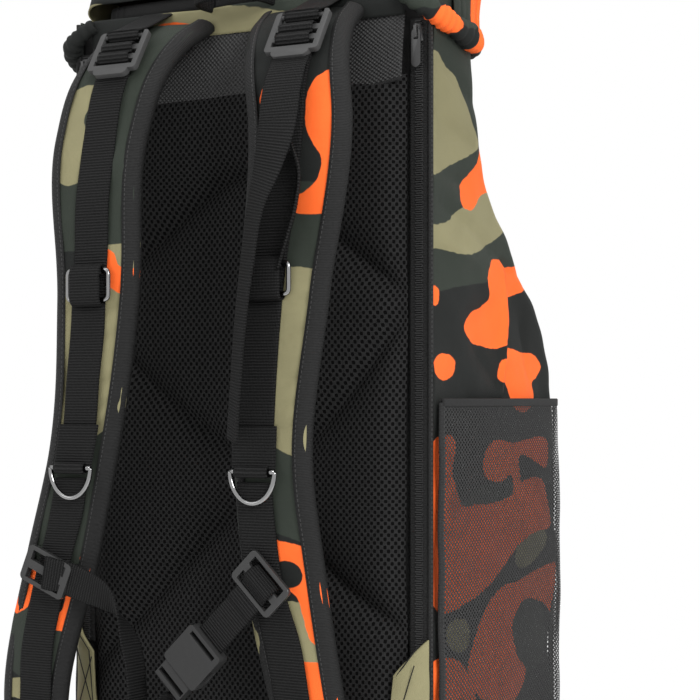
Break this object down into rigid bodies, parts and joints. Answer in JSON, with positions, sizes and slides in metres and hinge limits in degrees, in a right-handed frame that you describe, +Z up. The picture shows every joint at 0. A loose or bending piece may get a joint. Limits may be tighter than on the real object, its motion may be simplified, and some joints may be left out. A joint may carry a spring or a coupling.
{
  "type": "backpack",
  "caption": "Tall top-lid field backpack with a padded mesh back, adjustable shoulder straps, sternum buckle, side nets and a zipped front pocket.",
  "frame": {"origin": "on the ground, below the middle of the back panel", "axes": "+Z up, +X towards the wearer's left, the harness faces -Y"},
  "size_m": [0.3578, 0.3383, 0.66],
  "materials": {
    "camo_fabric": "printed polyester, satin",
    "black_fabric": "woven nylon",
    "air_mesh": "knitted spacer mesh",
    "net": "open knitted net",
    "webbing": "ribbed nylon webbing",
    "hardware": "moulded acetal",
    "wire": "plated wire",
    "zip": "coil teeth and tape",
    "zip_metal": "black coated",
    "sheet": "polyethylene sheet",
    "stay": "brushed bar",
    "snap": "black coated"
  },
  "bodies": {
    "root": {"back_pad": "air_mesh", "bag_bottom": "black_fabric", "bag_front": "camo_fabric", "bag_rear": "black_fabric", "bag_side_left": "camo_fabric", "bag_side_right": "camo_fabric", "frame_sheet": "sheet", "front_pocket": "camo_fabric", "front_zip": "zip", "lifter_tail_left": "webbing", "lock_anchors": "webbing", "lower_rail_left": "webbing", "lower_rail_right": "webbing", "lower_web_left": "webbing", "lower_web_right": "webbing", "mesh_pocket_left": "net", "mesh_pocket_right": "net", "rail_web_left": "webbing", "rail_web_right": "webbing", "ring_tab_left": "webbing", "ring_tab_right": "webbing", "side_zips": "zip", "snap_bases": "snap", "snow_collar": "black_fabric", "stays": "stay", "strap_pad_left": "camo_fabric", "strap_pad_right": "camo_fabric", "wings": "camo_fabric", "yoke_panel": "black_fabric"},
    "lid": {"lid_shell": "camo_fabric", "lid_lining": "black_fabric", "lid_zip": "zip", "lid_straps": "webbing", "snap_tops": "snap"},
    "haul_loop": {"haul_loop": "webbing"},
    "lid_zip_slider": {"lid_zip_slider": "zip_metal"},
    "lid_zip_pull": {"lid_zip_pull": "zip_metal"},
    "front_zip_slider": {"front_zip_slider": "zip_metal"},
    "front_zip_pull": {"front_zip_pull": "zip_metal"},
    "sternum_left": {"sternum_slider_left": "hardware", "sternum_web_left": "webbing", "buckle_socket": "hardware"},
    "sternum_right": {"sternum_slider_right": "hardware", "sternum_web_right": "webbing"},
    "buckle_plug": {"buckle_plug": "hardware", "sternum_web_slack": "webbing"},
    "prong_upper": {"buckle_prong_upper": "hardware"},
    "prong_lower": {"buckle_prong_lower": "hardware"},
    "side_zip_slider_left": {"side_zip_slider_left": "zip_metal"},
    "side_zip_pull_left": {"side_zip_pull_left": "zip_metal"},
    "side_zip_slider_right": {"side_zip_slider_right": "zip_metal"},
    "side_zip_pull_right": {"side_zip_pull_right": "zip_metal"},
    "ladder_lock_left": {"ladder_lock_left": "hardware"},
    "mid_ring_left": {"mid_ring_left": "wire"},
    "d_ring_left": {"d_ring_left": "wire"},
    "lower_lock_left": {"lower_lock_left": "hardware"},
    "ladder_lock_right": {"ladder_lock_right": "hardware"},
    "mid_ring_right": {"mid_ring_right": "wire"},
    "d_ring_right": {"d_ring_right": "wire"},
    "lower_lock_right": {"lower_lock_right": "hardware"}
  },
  "joints": [
    {"name": "lid_hinge", "type": "hinge", "parent": "root", "child": "lid", "pos_m": [0, 0.002, 0.614], "axis": [1, 0, 0], "range_deg": [0, 80]},
    {"name": "haul_loop_swing", "type": "hinge", "parent": "root", "child": "haul_loop", "pos_m": [0, -0.002, 0.603], "axis": [-1, 0, 0], "range_deg": [0, 28]},
    {"name": "side_zip_left_run", "type": "slide", "parent": "root", "child": "side_zip_slider_left", "axis": [0, 0, -1], "range_m": [0, 0.395]},
    {"name": "side_zip_pull_left_swing", "type": "hinge", "parent": "side_zip_slider_left", "child": "side_zip_pull_left", "pos_m": [0.1435, -0.0068, 0.566], "axis": [-1, 0, 0], "range_deg": [0, 90]},
    {"name": "side_zip_right_run", "type": "slide", "parent": "root", "child": "side_zip_slider_right", "axis": [0, 0, -1], "range_m": [0, 0.395]},
    {"name": "side_zip_pull_right_swing", "type": "hinge", "parent": "side_zip_slider_right", "child": "side_zip_pull_right", "pos_m": [-0.1435, -0.0068, 0.566], "axis": [-1, 0, 0], "range_deg": [0, 90]},
    {"name": "lid_zip_run", "type": "slide", "parent": "lid", "child": "lid_zip_slider", "axis": [-1, 0, 0], "range_m": [0, 0.19]},
    {"name": "lid_zip_pull_swing", "type": "hinge", "parent": "lid_zip_slider", "child": "lid_zip_pull", "pos_m": [0.1, 0.0859, 0.629], "axis": [0, 0, -1], "range_deg": [0, 90]},
    {"name": "front_zip_run", "type": "slide", "parent": "root", "child": "front_zip_slider", "axis": [-1, 0, 0], "range_m": [0, 0.17]},
    {"name": "front_zip_pull_swing", "type": "hinge", "parent": "front_zip_slider", "child": "front_zip_pull", "pos_m": [0.09, 0.23855, 0.33865], "axis": [0, 0.7071, -0.7071], "range_deg": [0, 90]},
    {"name": "ladder_lock_left_tilt", "type": "hinge", "parent": "root", "child": "ladder_lock_left", "pos_m": [0.076, -0.046, 0.575], "axis": [-1, 0, 0], "range_deg": [0, 25]},
    {"name": "mid_ring_left_tilt", "type": "hinge", "parent": "root", "child": "mid_ring_left", "pos_m": [0.0658, -0.07932, 0.402], "axis": [-1, 0, 0], "range_deg": [0, 70]},
    {"name": "d_ring_left_tilt", "type": "hinge", "parent": "root", "child": "d_ring_left", "pos_m": [0.05068, -0.0727, 0.258], "axis": [-1, 0, 0], "range_deg": [0, 70]},
    {"name": "lower_lock_left_tilt", "type": "hinge", "parent": "root", "child": "lower_lock_left", "pos_m": [0.072, -0.04501, 0.052], "axis": [-1, 0, 0], "range_deg": [0, 25]},
    {"name": "ladder_lock_right_tilt", "type": "hinge", "parent": "root", "child": "ladder_lock_right", "pos_m": [-0.076, -0.046, 0.575], "axis": [-1, 0, 0], "range_deg": [0, 25]},
    {"name": "mid_ring_right_tilt", "type": "hinge", "parent": "root", "child": "mid_ring_right", "pos_m": [-0.0856, -0.07932, 0.402], "axis": [-1, 0, 0], "range_deg": [0, 70]},
    {"name": "d_ring_right_tilt", "type": "hinge", "parent": "root", "child": "d_ring_right", "pos_m": [-0.10716, -0.0727, 0.258], "axis": [-1, 0, 0], "range_deg": [0, 70]},
    {"name": "lower_lock_right_tilt", "type": "hinge", "parent": "root", "child": "lower_lock_right", "pos_m": [-0.164, -0.04501, 0.052], "axis": [-1, 0, 0], "range_deg": [0, 25]},
    {"name": "sternum_left_run", "type": "slide", "parent": "root", "child": "sternum_left", "axis": [-0.1203, -0.1404, 0.9828], "range_m": [-0.02, 0.02], "deforming": ["sternum_web_slack"]},
    {"name": "sternum_right_run", "type": "slide", "parent": "root", "child": "sternum_right", "axis": [0.3413, -0.1104, 0.9335], "range_m": [-0.02, 0.02], "deforming": ["sternum_web_right"]},
    {"name": "buckle_release", "type": "slide", "parent": "sternum_left", "child": "buckle_plug", "axis": [-0.7071, 0, -0.7071], "range_m": [0, 0.03], "deforming": ["sternum_web_slack"]},
    {"name": "prong_upper_squeeze", "type": "hinge", "parent": "buckle_plug", "child": "prong_upper", "pos_m": [-0.02255, -0.06443, 0.12216], "axis": [0, 1, 0], "range_deg": [0, 7], "stiffness_Nm_per_rad": 0.02},
    {"name": "prong_lower_squeeze", "type": "hinge", "parent": "buckle_plug", "child": "prong_lower", "pos_m": [-0.00544, -0.06443, 0.10505], "axis": [0, -1, 0], "range_deg": [0, 7], "stiffness_Nm_per_rad": 0.02}
  ],
  "couplings": [
    {"joint": "prong_lower_squeeze", "follows": "prong_upper_squeeze", "ratio": 1}
  ]
}
